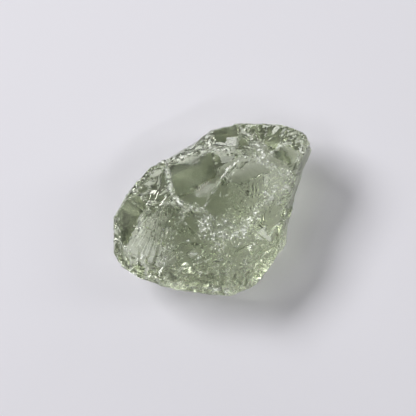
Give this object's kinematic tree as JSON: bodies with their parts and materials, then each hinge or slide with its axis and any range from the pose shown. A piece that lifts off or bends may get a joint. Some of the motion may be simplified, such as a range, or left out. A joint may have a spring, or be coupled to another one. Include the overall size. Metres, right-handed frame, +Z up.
{
  "type": "rough prasiolite shard",
  "caption": "Broken shard of rough prasiolite, a clear grey-green quartz with bowl-shaped fractures and crushed ridges, resting on a small flat face.",
  "frame": {"origin": "on the flat resting face, under the middle of the stone's outline", "axes": "+X along the stone's longest side, +Y across it, +Z up from the resting face"},
  "size_m": [0.032, 0.0277, 0.0137],
  "materials": {
    "green_quartz": "clear pale grey-green quartz with glassy fractures and frosted, crushed ridges"
  },
  "bodies": {
    "root": {"prasiolite": "green_quartz"}
  },
  "joints": []
}
